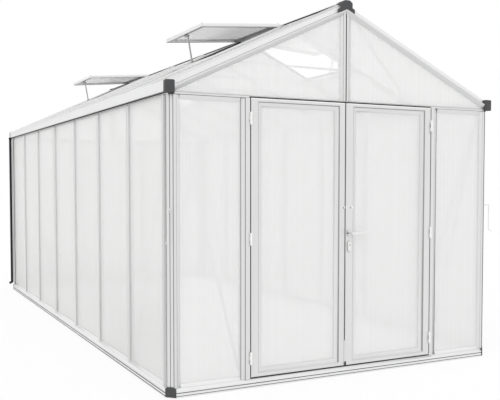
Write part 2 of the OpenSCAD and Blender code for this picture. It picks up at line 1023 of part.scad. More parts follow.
module jamb_hinge_set() {
    b = hinge_len / 6 - seat_gap;
    for (z = hinge_zs) {
        difference() {
            hinge_part(z - b, z + b, -1);
            translate([-hinge_x, -half_l + hinge_y, z - b - 1])
                cylinder(r = hinge_pin_r + pin_gap, h = 2 * b + 2);
        }
    }
}

module jamb_hinges() {
    color([0.95, 0.95, 0.94]) both_sides() jamb_hinge_set();
}

module left_door_frame() {
    color(silver) door_frame(left_leaf_in);
}

module right_door_frame() {
    color(silver) mirror([1, 0, 0]) door_frame(right_leaf_in);
}

module left_door_panel() {
    color(sheet_col) door_panel();
}

module right_door_panel() {
    color(sheet_col) mirror([1, 0, 0]) door_panel();
}

module left_door_hinges() {
    color([0.95, 0.95, 0.94]) door_hinge_set();
}

module right_door_hinges() {
    color([0.95, 0.95, 0.94]) mirror([1, 0, 0]) door_hinge_set();
}

// Rose behind the lever and the oval escutcheon round the keyhole, on the right leaf
lever_x = 24;
rose_t = 9;

module lock_plates() {
    key_z = lever_z - 88;
    key_gap = 20;
    color([0.72, 0.72, 0.71]) for (face = [0, 1]) {
        y = face == 0 ? -half_l - rose_t : -half_l + door_t;
        translate([lever_x, y + rose_t, lever_z]) rotate([90, 0, 0])
            cylinder(r = 19, h = rose_t);
        for (z = [key_z - key_gap, key_z + key_gap]) {
            translate([lever_x, y + rose_t, z]) rotate([90, 0, 0])
                cylinder(r = 16, h = rose_t);
        }
        block(lever_x - 16, lever_x + 16, y, y + rose_t, key_z - key_gap, key_z + key_gap);
    }
}

// Lever on each side of the leaf, on one spindle
module lever_handle() {
    shaft_r = 8;
    grip_h = 18;
    grip_t = 9;
    color([0.6, 0.6, 0.6]) for (face = [-1, 1]) {
        skin = rose_t + seat_gap;
        y0 = face < 0 ? -half_l - skin : -half_l + door_t + skin;
        translate([lever_x, y0, lever_z]) rotate([face < 0 ? 90 : -90, 0, 0])
            cylinder(r = shaft_r, h = lever_out - skin);
        y1 = y0 + face * (lever_out - skin);
        block(lever_x, lever_x + lever_len - grip_h / 2,
            min(y1, y1 - face * grip_t), max(y1, y1 - face * grip_t),
            lever_z - grip_h / 2, lever_z + grip_h / 2);
        translate([lever_x + lever_len - grip_h / 2, max(y1, y1 - face * grip_t), lever_z])
            rotate([90, 0, 0]) cylinder(r = grip_h / 2, h = grip_t);
    }
}

front_base_rail();
rear_base_rail();
left_base_rail();
right_base_rail();
base_corner_caps();
front_corner_posts();
rear_corner_posts();
left_wall_bars();
right_wall_bars();
door_jambs();
jamb_hinges();
rear_wall_bars();
transoms();
gable_posts();
left_gutter();
right_gutter();
roof_end_caps();
ridge_beam();
rakes();
left_roof_bars();
right_roof_bars();
vent_sills();
collar_ties();
wall_braces();
roof_braces();
left_wall_panels();
right_wall_panels();
front_wall_panels();
rear_wall_panels();
gable_panels();
left_roof_panels();
right_roof_panels();
vent_frames();
vent_panels();
vent_props();
downpipes();
door_hooks();
left_door_frame();
left_door_panel();
left_door_hinges();
right_door_frame();
right_door_panel();
right_door_hinges();
lock_plates();
lever_handle();
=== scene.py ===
"""Looks of the polycarbonate greenhouse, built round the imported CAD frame. Metres, +Z up."""
import json
import math

import bmesh
import bpy
from mathutils import Matrix, Vector

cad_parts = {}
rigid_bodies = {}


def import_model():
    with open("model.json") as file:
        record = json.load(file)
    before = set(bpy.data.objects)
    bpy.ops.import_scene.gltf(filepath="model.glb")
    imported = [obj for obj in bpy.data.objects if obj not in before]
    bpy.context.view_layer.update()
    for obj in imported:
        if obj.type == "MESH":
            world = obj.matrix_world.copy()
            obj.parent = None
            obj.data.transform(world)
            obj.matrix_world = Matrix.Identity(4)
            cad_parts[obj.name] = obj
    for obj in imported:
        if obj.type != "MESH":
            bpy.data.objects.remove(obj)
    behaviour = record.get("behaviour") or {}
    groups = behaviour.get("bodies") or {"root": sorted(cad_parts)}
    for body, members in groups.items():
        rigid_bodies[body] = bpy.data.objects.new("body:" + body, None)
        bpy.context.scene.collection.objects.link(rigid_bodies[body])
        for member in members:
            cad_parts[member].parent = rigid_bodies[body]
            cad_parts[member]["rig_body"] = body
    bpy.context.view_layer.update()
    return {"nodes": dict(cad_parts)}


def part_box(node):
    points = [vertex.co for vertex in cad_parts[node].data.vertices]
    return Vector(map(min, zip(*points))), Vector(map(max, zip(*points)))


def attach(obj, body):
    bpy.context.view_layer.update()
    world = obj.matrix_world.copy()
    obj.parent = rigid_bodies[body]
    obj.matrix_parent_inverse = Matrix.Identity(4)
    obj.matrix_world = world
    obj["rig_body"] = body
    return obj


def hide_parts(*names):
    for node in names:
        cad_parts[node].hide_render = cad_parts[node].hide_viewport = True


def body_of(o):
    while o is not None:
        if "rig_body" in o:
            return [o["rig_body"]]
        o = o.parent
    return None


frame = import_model()
MM = 0.001


# ---------------------------------------------------------------- camera, floor and light

SENSOR = 36.0
LENS = 54.345
SHIFT = (0.00458, 0.03012)
CAMERA_PLACE = (-2.8445, -6.7778, 1.2882)
CAMERA_DOWN = 2.48
CAMERA_TURN = -26.95
FLOOR_SIZE = 120.0
FLOOR_DROP = 0.0005
FLOOR_TONE = 0.90
FLOOR_WHITE = 0.85
FLOOR_THROUGH = 0.35
SKY = 0.80


def make_camera():
    """The photographer's place, at the front left."""
    data = bpy.data.cameras.new("camera")
    data.sensor_width = SENSOR
    data.lens = LENS
    data.shift_x, data.shift_y = SHIFT
    cam = bpy.data.objects.new("camera", data)
    bpy.context.collection.objects.link(cam)
    cam.location = CAMERA_PLACE
    cam.rotation_euler = (math.radians(90 - CAMERA_DOWN), 0, math.radians(CAMERA_TURN))
    bpy.context.scene.camera = cam


def node(tree, kind, x=0, y=0, **values):
    """A shader node at x, y in the editor, with its settings."""
    made = tree.nodes.new(kind)
    made.location = (x, y)
    for key, value in values.items():
        setattr(made, key, value)
    return made


def seen_ray(tree):
    """1 for camera, glossy and transmission rays, which see the floor and the world as white."""
    path = node(tree, "ShaderNodeLightPath", -900, 300)
    first = node(tree, "ShaderNodeMath", -700, 300, operation="MAXIMUM")
    second = node(tree, "ShaderNodeMath", -500, 300, operation="MAXIMUM")
    tree.links.new(path.outputs["Is Camera Ray"], first.inputs[0])
    tree.links.new(path.outputs["Is Glossy Ray"], first.inputs[1])
    tree.links.new(first.outputs[0], second.inputs[0])
    tree.links.new(path.outputs["Is Transmission Ray"], second.inputs[1])
    return second.outputs[0]


def bare_ray(tree, seen):
    """The same value, but lowered for rays that have passed through a sheet."""
    path = node(tree, "ShaderNodeLightPath", -900, 600)
    through = node(tree, "ShaderNodeMapRange", -500, 600)
    through.inputs["From Max"].default_value = 1.0
    through.inputs["To Min"].default_value = 1.0
    through.inputs["To Max"].default_value = FLOOR_THROUGH
    tree.links.new(path.outputs["Transparent Depth"], through.inputs["Value"])
    both = node(tree, "ShaderNodeMath", -300, 500, operation="MULTIPLY")
    tree.links.new(seen, both.inputs[0])
    tree.links.new(through.outputs[0], both.inputs[1])
    return both.outputs[0]


def make_stage():
    """A pale matt floor that the camera sees as nearly white."""
    mesh = bpy.data.meshes.new("floor")
    half = FLOOR_SIZE / 2
    mesh.from_pydata([(-half, -half, 0), (half, -half, 0), (half, half, 0), (-half, half, 0)],
                     [], [(0, 1, 2, 3)])
    floor = bpy.data.objects.new("floor", mesh)
    floor.location = (0, 0, -FLOOR_DROP)
    bpy.context.collection.objects.link(floor)
    mat = bpy.data.materials.new("floor")
    mat.use_nodes = True
    tree = mat.node_tree
    tree.nodes.clear()
    out = node(tree, "ShaderNodeOutputMaterial", 400, 0)
    mix = node(tree, "ShaderNodeMixShader", 200, 0)
    lit = node(tree, "ShaderNodeBsdfDiffuse", 0, 100)
    lit.inputs["Color"].default_value = (FLOOR_TONE, FLOOR_TONE, FLOOR_TONE, 1)
    white = node(tree, "ShaderNodeEmission", 0, -100)
    white.inputs["Color"].default_value = (1, 1, 1, 1)
    white.inputs["Strength"].default_value = 1.0
    share = node(tree, "ShaderNodeMath", 0, 300, operation="MULTIPLY")
    share.inputs[1].default_value = FLOOR_WHITE
    tree.links.new(bare_ray(tree, seen_ray(tree)), share.inputs[0])
    tree.links.new(share.outputs[0], mix.inputs[0])
    tree.links.new(lit.outputs[0], mix.inputs[1])
    tree.links.new(white.outputs[0], mix.inputs[2])
    tree.links.new(mix.outputs[0], out.inputs["Surface"])
    mesh.materials.append(mat)


def make_world():
    """An even sky for the light, and plain white where it is seen."""
    world = bpy.data.worlds.new("world")
    bpy.context.scene.world = world
    world.use_nodes = True
    tree = world.node_tree
    tree.nodes.clear()
    out = node(tree, "ShaderNodeOutputWorld", 400, 0)
    mix = node(tree, "ShaderNodeMixShader", 200, 0)
    sky = node(tree, "ShaderNodeBackground", 0, 100)
    sky.inputs["Color"].default_value = (1, 1, 1, 1)
    sky.inputs["Strength"].default_value = SKY
    white = node(tree, "ShaderNodeBackground", 0, -100)
    white.inputs["Color"].default_value = (1, 1, 1, 1)
    white.inputs["Strength"].default_value = 1.0
    tree.links.new(seen_ray(tree), mix.inputs[0])
    tree.links.new(sky.outputs[0], mix.inputs[1])
    tree.links.new(white.outputs[0], mix.inputs[2])
    tree.links.new(mix.outputs[0], out.inputs["Surface"])


def make_sun(name, strength, azimuth, elevation, spread):
    """A soft lamp that shines from azimuth (0 is in front, 90 on the right) and elevation."""
    data = bpy.data.lights.new(name, "SUN")
    data.energy = strength
    data.angle = math.radians(spread)
    lamp = bpy.data.objects.new(name, data)
    lamp.visible_glossy = False
    bpy.context.collection.objects.link(lamp)
    a, e = math.radians(azimuth), math.radians(elevation)
    back = Vector((math.sin(a) * math.cos(e), -math.cos(a) * math.cos(e), math.sin(e)))
    lamp.rotation_mode = "QUATERNION"
    lamp.rotation_quaternion = back.to_track_quat("Z", "Y")


make_camera()
make_stage()
make_world()
make_sun("key", 1.05, -45, 40, 70)
make_sun("fill", 0.5, 60, 30, 120)


# ---------------------------------------------------------------- materials

def principled(name):
    """A material with only a principled shader."""
    mat = bpy.data.materials.new(name)
    mat.use_nodes = True
    tree = mat.node_tree
    tree.nodes.clear()
    out = node(tree, "ShaderNodeOutputMaterial", 600, 0)
    shader = node(tree, "ShaderNodeBsdfPrincipled", 300, 0)
    tree.links.new(shader.outputs[0], out.inputs["Surface"])
    return mat, tree, shader


def scaled_place(tree, scale):
    """The surface's place in the frame, stretched by scale along each axis."""
    coords = node(tree, "ShaderNodeTexCoord", -1100, 0)
    mapping = node(tree, "ShaderNodeMapping", -900, 0)
    mapping.inputs["Scale"].default_value = scale
    tree.links.new(coords.outputs["Object"], mapping.inputs["Vector"])
    return mapping.outputs[0]


def ramp(tree, source, low, high, x=-300, y=0):
    """Turns a value from 0 to 1 into a colour between low and high."""
    made = node(tree, "ShaderNodeValToRGB", x, y)
    made.color_ramp.elements[0].color = (*low, 1)
    made.color_ramp.elements[1].color = (*high, 1)
    tree.links.new(source, made.inputs[0])
    return made.outputs[0]


def ranged(tree, source, low, high, x=-300, y=-200):
    """Turns a value from 0 to 1 into a value between low and high."""
    made = node(tree, "ShaderNodeMapRange", x, y)
    made.inputs["To Min"].default_value = low
    made.inputs["To Max"].default_value = high
    tree.links.new(source, made.inputs["Value"])
    return made.outputs[0]


def noise(tree, place, scale, detail=3.0, x=-600, y=0):
    made = node(tree, "ShaderNodeTexNoise", x, y)
    made.inputs["Scale"].default_value = scale
    made.inputs["Detail"].default_value = detail
    tree.links.new(place, made.inputs["Vector"])
    return made.outputs[0]


def bump(tree, shader, height, strength, distance):
    made = node(tree, "ShaderNodeBump", 0, -500)
    made.inputs["Strength"].default_value = strength
    made.inputs["Distance"].default_value = distance
    tree.links.new(height, made.inputs["Height"])
    tree.links.new(made.outputs[0], shader.inputs["Normal"])


# Fineness of the drawing lines along and across a bar, and of the grain of plastic
LONG = 1.2
FINE = 260.0
GRAIN = 900.0
# How far a metal's colour strays from its tone
METAL_SPREAD = 0.035


def shades(tone, spread):
    """The darkest and the lightest colour of a surface."""
    low = tuple(c * (1 - spread) for c in tone)
    return low, tuple(min(1.0, c * (1 + spread)) for c in tone)


def metal(name, tone, run, rough=0.36, metallic=0.75):
    """Extruded aluminium with drawing lines along run, an axis letter or 's' for the slope."""
    mat, tree, shader = principled(name)
    shader.inputs["Metallic"].default_value = metallic
    scale = {"x": (LONG, FINE, FINE), "y": (FINE, LONG, FINE), "z": (FINE, FINE, LONG),
             "s": (LONG, FINE, LONG)}[run]
    lines = noise(tree, scaled_place(tree, scale), 1.0, 4.0, y=-300)
    clouds = noise(tree, scaled_place(tree, (1, 1, 1)), 2.3, 3.0, y=100)
    low, high = shades(tone, METAL_SPREAD)
    tree.links.new(ramp(tree, clouds, low, high, y=200), shader.inputs["Base Color"])
    tree.links.new(ranged(tree, lines, rough - 0.07, rough + 0.09), shader.inputs["Roughness"])
    bump(tree, shader, lines, 0.12, 0.6 * MM)
    return mat


def plastic(name, tone, rough=0.5, spread=0.15, shine=0.3):
    """Moulded plastic or rubber with a fine grain and faint clouds."""
    mat, tree, shader = principled(name)
    shader.inputs["Specular IOR Level"].default_value = shine
    place = scaled_place(tree, (1, 1, 1))
    grains = noise(tree, place, GRAIN, 2.0, y=-300)
    clouds = noise(tree, place, 14.0, 3.0, y=100)
    low, high = shades(tone, spread)
    tree.links.new(ramp(tree, clouds, low, high, y=200), shader.inputs["Base Color"])
    tree.links.new(ranged(tree, clouds, rough - 0.06, rough + 0.06), shader.inputs["Roughness"])
    bump(tree, shader, grains, 0.25, 0.3 * MM)
    return mat


def painted_shade_ramp(tree, split, color, light, axis, grey_at, clear_at, factor):
    """The colour, made greyer by factor where the place along axis nears grey_at: painted shade.
    """
    side = node(tree, "ShaderNodeMath", -900, 500, operation="ABSOLUTE")
    tree.links.new(split.outputs["XYZ".index(axis)], side.inputs[0])
    deep = node(tree, "ShaderNodeMapRange", -700, 500, interpolation_type="SMOOTHSTEP")
    deep.inputs["From Min"].default_value = grey_at
    deep.inputs["From Max"].default_value = clear_at
    tree.links.new(side.outputs[0], deep.inputs["Value"])
    grey = tuple(c * factor for c in light)
    shade = ramp(tree, deep.outputs[0], grey, light, x=-400, y=500)
    # Sockets 6 and 7 are the mix node's colours, and output 2 their product
    mix = node(tree, "ShaderNodeMix", 100, 300, data_type="RGBA", blend_type="MULTIPLY")
    mix.inputs["Factor"].default_value = 1.0
    tree.links.new(color, mix.inputs[6])
    tree.links.new(shade, mix.inputs[7])
    return mix.outputs[2]


# Width of a flute, the share of it over which the web's shade fades, and the web's weight
FLUTE = 5.5 * MM
WEB_SHARE = 0.12
WEB_WEIGHT = 0.55


def sheet(name, across, opacity=0.58, tone=0.95, contrast=0.975, shade_ramp=None):
    """Twin-wall polycarbonate.

    shade_ramp holds an axis, the distances along it where the sheet's painted shade is greyest
    and where it clears, and the grey's factor.
    """
    mat, tree, shader = principled(name)
    coords = node(tree, "ShaderNodeTexCoord", -1300, 0)
    split = node(tree, "ShaderNodeSeparateXYZ", -1100, 0)
    tree.links.new(coords.outputs["Object"], split.inputs[0])
    count = node(tree, "ShaderNodeMath", -900, 0, operation="DIVIDE")
    count.inputs[1].default_value = FLUTE
    tree.links.new(split.outputs["XYZ".index(across)], count.inputs[0])
    # wave runs from 0 at each whole number to 0.5 halfway, where the web stands
    wave = node(tree, "ShaderNodeMath", -700, 0, operation="PINGPONG")
    wave.inputs[1].default_value = 0.5
    tree.links.new(count.outputs[0], wave.inputs[0])
    web = node(tree, "ShaderNodeMapRange", -500, 0)
    web.inputs["From Min"].default_value = 0.5
    web.inputs["From Max"].default_value = 0.5 - WEB_SHARE
    web.inputs["To Min"].default_value = 1.0
    web.inputs["To Max"].default_value = 0.0
    tree.links.new(wave.outputs[0], web.inputs["Value"])
    # Every flute has its own faint shade
    cell = node(tree, "ShaderNodeMath", -700, -250, operation="FLOOR")
    tree.links.new(count.outputs[0], cell.inputs[0])
    shade = node(tree, "ShaderNodeTexWhiteNoise", -500, -250, noise_dimensions="1D")
    tree.links.new(cell.outputs[0], shade.inputs["W"])
    both = node(tree, "ShaderNodeMath", -300, -100, operation="MULTIPLY_ADD")
    both.inputs[1].default_value = WEB_WEIGHT
    tree.links.new(web.outputs[0], both.inputs[0])
    part = node(tree, "ShaderNodeMath", -300, -300, operation="MULTIPLY")
    part.inputs[1].default_value = 1 - WEB_WEIGHT
    tree.links.new(shade.outputs["Value"], part.inputs[0])
    tree.links.new(part.outputs[0], both.inputs[2])
    light = (tone, tone * 1.004, tone * 0.998)
    dark = tuple(c * contrast for c in light)
    color = ramp(tree, both.outputs[0], light, dark, x=-100, y=100)
    # Painted shade, greyer towards one end of the sheet
    if shade_ramp:
        color = painted_shade_ramp(tree, split, color, light, *shade_ramp)
    tree.links.new(color, shader.inputs["Base Color"])
    tree.links.new(ranged(tree, both.outputs[0], opacity, opacity + 0.06, x=-100, y=-150),
                   shader.inputs["Alpha"])
    clouds = noise(tree, scaled_place(tree, (1, 1, 1)), 1.7, 2.0, x=-300, y=-700)
    tree.links.new(ranged(tree, clouds, 0.30, 0.42, x=-100, y=-400), shader.inputs["Roughness"])
    bump(tree, shader, web.outputs[0], 0.35, 0.6 * MM)
    return mat


SILVER = (0.735, 0.738, 0.736)
# A lighter copy of the same aluminium, as painted light: on the roof bars, rakes and vent frames
# it stands for the light they catch; the base rails, gutters, ridge beam and vent sills take it
# too
SILVER_LIT = (0.83, 0.832, 0.83)
MATS = {
    "metal_x": metal("metal_x", SILVER, "x"),
    "metal_z": metal("metal_z", SILVER, "z"),
    "metal_s": metal("metal_s", SILVER, "s"),
    # A darker silver: painted shade on the slanted faces under the rakes
    "metal_rake_shade": metal("metal_rake_shade", (0.66, 0.663, 0.662), "s"),
    # Dark grey: the vent props' tone, and painted shade on the vent frames' undersides
    "metal_u": metal("metal_u", (0.40, 0.40, 0.40), "s"),
    "bright_x": metal("bright_x", SILVER_LIT, "x"),
    "bright_y": metal("bright_y", SILVER_LIT, "y"),
    "bright_s": metal("bright_s", SILVER_LIT, "s"),
    "satin": metal("satin", (0.80, 0.80, 0.795), "x"),
    "brace": metal("brace", (0.60, 0.61, 0.62), "z", rough=0.45, metallic=0.9),
    "steel": metal("steel", (0.55, 0.55, 0.54), "x", rough=0.30, metallic=1.0),
    # One polycarbonate, at tones set per wall as painted light: front and rear walls darkest, roof
    # and vents between, side walls and gables lightest
    "sheet_x": sheet("sheet_x", "X", tone=0.92),
    "sheet_y": sheet("sheet_y", "Y"),
    "sheet_gable": sheet("sheet_gable", "X", opacity=0.46, tone=1.0, contrast=0.992),
    # The side walls' sheets are painted greyer towards the bottom, as shade
    "sheet_side": sheet("sheet_side", "Y", opacity=0.60, tone=0.98,
                        shade_ramp=("Z", 0.30, 0.95, 0.945)),
    # The vent leaves' sheets are painted greyer towards the ridge, as shade under it
    "sheet_vent": sheet("sheet_vent", "Y", opacity=0.42, shade_ramp=("X", 0.28, 0.46, 0.60)),
    "grey_plastic": plastic("grey_plastic", (0.06, 0.061, 0.063)),
    "black_plastic": plastic("black_plastic", (0.012, 0.012, 0.013), rough=0.4, shine=0.2),
    "white_enamel": plastic("white_enamel", (0.84, 0.84, 0.83), rough=0.35, spread=0.02),
    # Black rubber, also laid in grooves and gaps as painted shade
    "rubber": plastic("rubber", (0.012, 0.012, 0.012), rough=0.65, shine=0.1),
    # Dark grey rubber, also laid as painted shade under the gutters and round the vents
    "grey_rubber": plastic("grey_rubber", (0.07, 0.07, 0.07), rough=0.7, shine=0.1),
    # Grey of the painted shade along the vent leaves' hinges
    "hinge_shade": plastic("hinge_shade", (0.22, 0.222, 0.225)),
    "shadow_gap": plastic("shadow_gap", (0.10, 0.10, 0.10), rough=0.7),
    # Grey seams, and lines of painted shade on the profiles
    "seam": plastic("seam", (0.30, 0.30, 0.30), rough=0.6, shine=0.1),
    "pale_seam": plastic("pale_seam", (0.48, 0.48, 0.48), rough=0.6, shine=0.1),
}

LOOKS = {
    "front_base_rail": "bright_x", "rear_base_rail": "bright_x", "left_base_rail": "bright_y",
    "right_base_rail": "bright_y", "base_corner_caps": "grey_plastic",
    "front_corner_posts": "metal_z", "rear_corner_posts": "metal_z",
    "left_wall_bars": "metal_z", "right_wall_bars": "metal_z", "door_jambs": "metal_z",
    "jamb_hinges": "white_enamel", "rear_wall_bars": "metal_z", "transoms": "metal_x",
    "gable_posts": "metal_z", "left_gutter": "bright_y", "right_gutter": "bright_y",
    "roof_end_caps": "grey_plastic", "ridge_beam": "bright_y", "rakes": "bright_s",
    "left_roof_bars": "bright_s", "right_roof_bars": "bright_s", "vent_sills": "bright_y",
    "collar_ties": "brace", "wall_braces": "brace", "roof_braces": "brace",
    "left_wall_panels": "sheet_side", "right_wall_panels": "sheet_side",
    "front_wall_panels": "sheet_x", "rear_wall_panels": "sheet_x",
    "gable_panels": "sheet_gable",
    "left_roof_panels": "sheet_y", "right_roof_panels": "sheet_y", "vent_frames": "bright_s",
    "vent_panels": "sheet_vent", "vent_props": "metal_u", "downpipes": "black_plastic",
    "door_hooks": "satin", "left_door_frame": "metal_z", "left_door_panel": "sheet_x",
    "left_door_hinges": "white_enamel", "right_door_frame": "metal_z",
    "right_door_panel": "sheet_x", "right_door_hinges": "white_enamel",
    "lock_plates": "satin", "lever_handle": "satin",
}
SHEETS = {name for name, look in LOOKS.items() if look.startswith("sheet")}


HINGE_X = 710.75
HINGE_RADIUS = 7.2
SOFT_EDGE = 1.0 * MM


def dress_nodes():
    """Gives every CAD node its material."""
    for name, look in LOOKS.items():
        obj = frame["nodes"][name]
        obj.data.materials.clear()
        obj.data.materials.append(MATS[look])


def on_hinge_leaf(face):
    """The flat leaves on both sides of a hinge's pin."""
    return abs(abs(face.center.x) - HINGE_X * MM) > HINGE_RADIUS * MM


def slants(face):
    return 0.25 < abs(face.normal.y) < 0.97


def on_shoulder(face):
    """The slanted faces on top of a rake."""
    return slants(face) and face.normal.z > 0.2


def on_bead(face):
    """The slanted faces under a rake."""
    return slants(face) and face.normal.z < -0.2


def faces_down(face):
    return face.normal.z < -0.8


def repaint(mesh, look, test):
    """Gives the faces that pass the test a second material."""
    mesh.materials.append(MATS[look])
    for face in mesh.polygons:
        if test(face):
            face.material_index = len(mesh.materials) - 1


def soften(obj, width):
    """Rounded edges, as fine as width."""
    edge = obj.modifiers.new("edge", "BEVEL")
    edge.width = width
    edge.segments = 2
    edge.limit_method = "ANGLE"
    edge.angle_limit = math.radians(35)
    edge.use_clamp_overlap = True
    edge.harden_normals = True
    for face in obj.data.polygons:
        face.use_smooth = True


def bevelled(name, width):
    """A copy of a CAD node with rounded edges, which stands for it."""
    source = frame["nodes"][name]
    bm = bmesh.new()
    bm.from_mesh(source.data)
    bm.transform(source.matrix_world)
    bmesh.ops.remove_doubles(bm, verts=bm.verts, dist=0.00002)
    bmesh.ops.dissolve_limit(bm, angle_limit=math.radians(0.4), verts=bm.verts,
                             edges=bm.edges)
    mesh = bpy.data.meshes.new(name + "_finish")
    bm.to_mesh(mesh)
    bm.free()
    mesh.materials.append(MATS[LOOKS[name]])
    if name.endswith("hinges"):
        repaint(mesh, "metal_z", on_hinge_leaf)
    # Painted shade on the rakes: their slanted top faces in the plain silver, the faces under them
    # darker still, against the lighter copy on the rest
    if name == "rakes":
        repaint(mesh, "metal_s", on_shoulder)
        repaint(mesh, "metal_rake_shade", on_bead)
    # Painted shade on the undersides of the vent frames
    if name == "vent_frames":
        repaint(mesh, "metal_u", faces_down)
    obj = bpy.data.objects.new(name + "_finish", mesh)
    bpy.context.collection.objects.link(obj)
    soften(obj, width)
    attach(obj, body_of(source)[0])
    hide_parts(name)


dress_nodes()
bpy.context.view_layer.update()
for part in LOOKS:
    if part not in SHEETS:
        bevelled(part, SOFT_EDGE)


# ---------------------------------------------------------------- helpers for small pieces

class Maker:
    """Gathers boxes, rods and prisms in one mesh. Lengths are millimetres in the frame."""

    def __init__(self):
        self.bm = bmesh.new()

    def box(self, x0, x1, y0, y1, z0, z1):
        lo = Vector((min(x0, x1), min(y0, y1), min(z0, z1))) * MM
        hi = Vector((max(x0, x1), max(y0, y1), max(z0, z1))) * MM
        size = Matrix.Diagonal(((hi - lo).x, (hi - lo).y, (hi - lo).z, 1))
        bmesh.ops.create_cube(self.bm, size=1, matrix=Matrix.Translation((lo + hi) / 2) @ size)

    def rod(self, start, end, r0, r1=None, sides=20):
        a, b = Vector(start) * MM, Vector(end) * MM
        turn = (b - a).to_track_quat("Z", "Y").to_matrix().to_4x4()
        bmesh.ops.create_cone(
            self.bm, cap_ends=True, segments=sides, radius1=r0 * MM,
            radius2=(r0 if r1 is None else r1) * MM, depth=(b - a).length,
            matrix=Matrix.Translation((a + b) / 2) @ turn)

    def prism(self, points, along):
        """Closed outline of 3-D points, swept by the vector along."""
        low = [self.bm.verts.new(Vector(p) * MM) for p in points]
        high = [self.bm.verts.new((Vector(p) + Vector(along)) * MM) for p in points]
        self.bm.faces.new(low)
        self.bm.faces.new(list(reversed(high)))
        for i in range(len(points)):
            j = (i + 1) % len(points)
            self.bm.faces.new((low[i], high[i], high[j], low[j]))

    def placed(self, place, side, add, *where):
        """Adds a form by add, then moves it by place, mirrored where side is the left one."""
        before = set(self.bm.verts)
        add(*where)
        new = [v for v in self.bm.verts if v not in before]
        if side < 0:
            place = Matrix.Diagonal((-1, 1, 1, 1)) @ place
        bmesh.ops.transform(self.bm, verts=new, matrix=place)

    def slab(self, side, *where):
        """A box on a roof slope: u runs down from the ridge line, w stands up from the bars."""
        place = Matrix.Translation((0, 0, RIDGE_Z * MM)) @ Matrix.Rotation(PITCH, 4, "Y")
        self.placed(place, side, self.box, *where)

    def done(self, name, look, body="house", edge=0.0):
        bmesh.ops.recalc_face_normals(self.bm, faces=self.bm.faces)
        mesh = bpy.data.meshes.new(name)
        self.bm.to_mesh(mesh)
        self.bm.free()
        mesh.materials.append(MATS[look])
        obj = bpy.data.objects.new(name, mesh)
        bpy.context.collection.objects.link(obj)
        if edge:
            soften(obj, edge * MM)
        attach(obj, body)


# ---------------------------------------------------------------- measures from the frame

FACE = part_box("front_base_rail")[0].y / MM
BASE_RISE = 58
BASE_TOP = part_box("base_corner_caps")[0].z / MM + BASE_RISE
# Half the width that the trims are placed by. It is 8 mm more than half the base's width,
# because the posts stand back by POST_IN and not by TRIM_OUT: the trims that are placed by
# HALF_W along x stand 8 mm too far out.
TRIM_OUT = 17
HALF_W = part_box("front_corner_posts")[1].x / MM + TRIM_OUT
HALF_L = -FACE
WALL_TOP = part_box("front_corner_posts")[1].z / MM
LEAF_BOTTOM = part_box("left_door_frame")[0].z / MM
LEAF_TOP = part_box("left_door_frame")[1].z / MM
LEAF_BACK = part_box("left_door_frame")[1].y / MM
LEAF_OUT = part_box("right_door_frame")[1].x / MM
LEFT_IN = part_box("left_door_frame")[1].x / MM
RIGHT_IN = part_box("right_door_frame")[0].x / MM
# Gaps between a leaf and its jamb, and between the two leaves
DOOR_GAP = 6.5
JAMB = LEAF_OUT + DOOR_GAP
# How far the posts and the sheets stand back from the base's faces
POST_IN = 9
SHEET_IN = 18
POST_CHAMFER = 31
MEET_HALF = 53
STILE = 50
RAIL = 21
STRIP_FOOT = 236
PITCH = math.radians(25)
EAVE_Z = 1889
# It follows HALF_W, so it lies 3.7 mm above the roof's own ridge line
RIDGE_Z = EAVE_Z + HALF_W * math.tan(PITCH)
GABLE_FOOT = WALL_TOP + 15
RAKE_END = (HALF_W - 50) / math.cos(PITCH)
EAVE_SHADOW = (1815, 1822)
LEVER_Z = 952
KEY_Z = 864
CATCH_Z = 1120
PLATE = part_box("lock_plates")
PLATE_FACE = PLATE[0].y / MM
LOCK_X = (PLATE[0].x + PLATE[1].x) / 2 / MM
# Roof vents: their bays by the side bars, counted from the front of the base
VENT_BAYS = ((780, 1510), (3734, 4464))
VENT_LEN = 652
VENT_GAP = 20
LEAF_UNDER = -12
VENT_HINGE = (45.3, RIDGE_Z - 45.3 * math.tan(PITCH) + 3)
VENT_PITCH = math.radians(5)
# The four corners, as signs of x and y
CORNERS = [(sx, sy) for sx in (-1, 1) for sy in (-1, 1)]


# ---------------------------------------------------------------- door seals, painted shade and highlight, and furniture

def door_stops():
    """Black rubber stops behind the leaves, on the jambs, the transom and the threshold; they also
    darken the gaps round the leaves as painted shade.
    """
    y0, y1 = LEAF_BACK + 5.5, LEAF_BACK + 13
    made = Maker()
    for side in (-1, 1):
        made.box(side * (JAMB - 22), side * JAMB, y0, y1, BASE_TOP, LEAF_TOP + 6)
    made.box(-JAMB + 22, JAMB - 22, y0, y1, LEAF_TOP - 14, LEAF_TOP + 6)
    made.box(-JAMB + 22, JAMB - 22, y0, y1, BASE_TOP, BASE_TOP + 26)
    made.done("door_stops", "rubber")


def leaf_seals(side, inner, body):
    """Thin black brush strips let into the edges of a leaf."""
    t = 0.4
    y0, y1 = FACE + 4, LEAF_BACK - 4
    made = Maker()
    out = side * LEAF_OUT
    made.box(out, out + side * t, y0, y1, LEAF_BOTTOM, LEAF_TOP)
    made.box(inner, inner - side * t, y0, y1, LEAF_BOTTOM, LEAF_TOP)
    made.box(out, inner, y0, y1, LEAF_TOP, LEAF_TOP + t)
    made.box(out, inner, y0, y1, LEAF_BOTTOM, LEAF_BOTTOM - t)
    made.done(body + "_seals", "rubber", body)


def leaf_head_highlight(side, inner, body):
    """Painted highlight: a white strip along the head of a leaf, where its top edge catches the
    light.
    """
    made = Maker()
    made.box(side * (LEAF_OUT - 1), inner, FACE - 0.5, FACE + 3, LEAF_TOP - 6, LEAF_TOP - 0.5)
    made.done(body + "_head_highlight", "white_enamel", body)


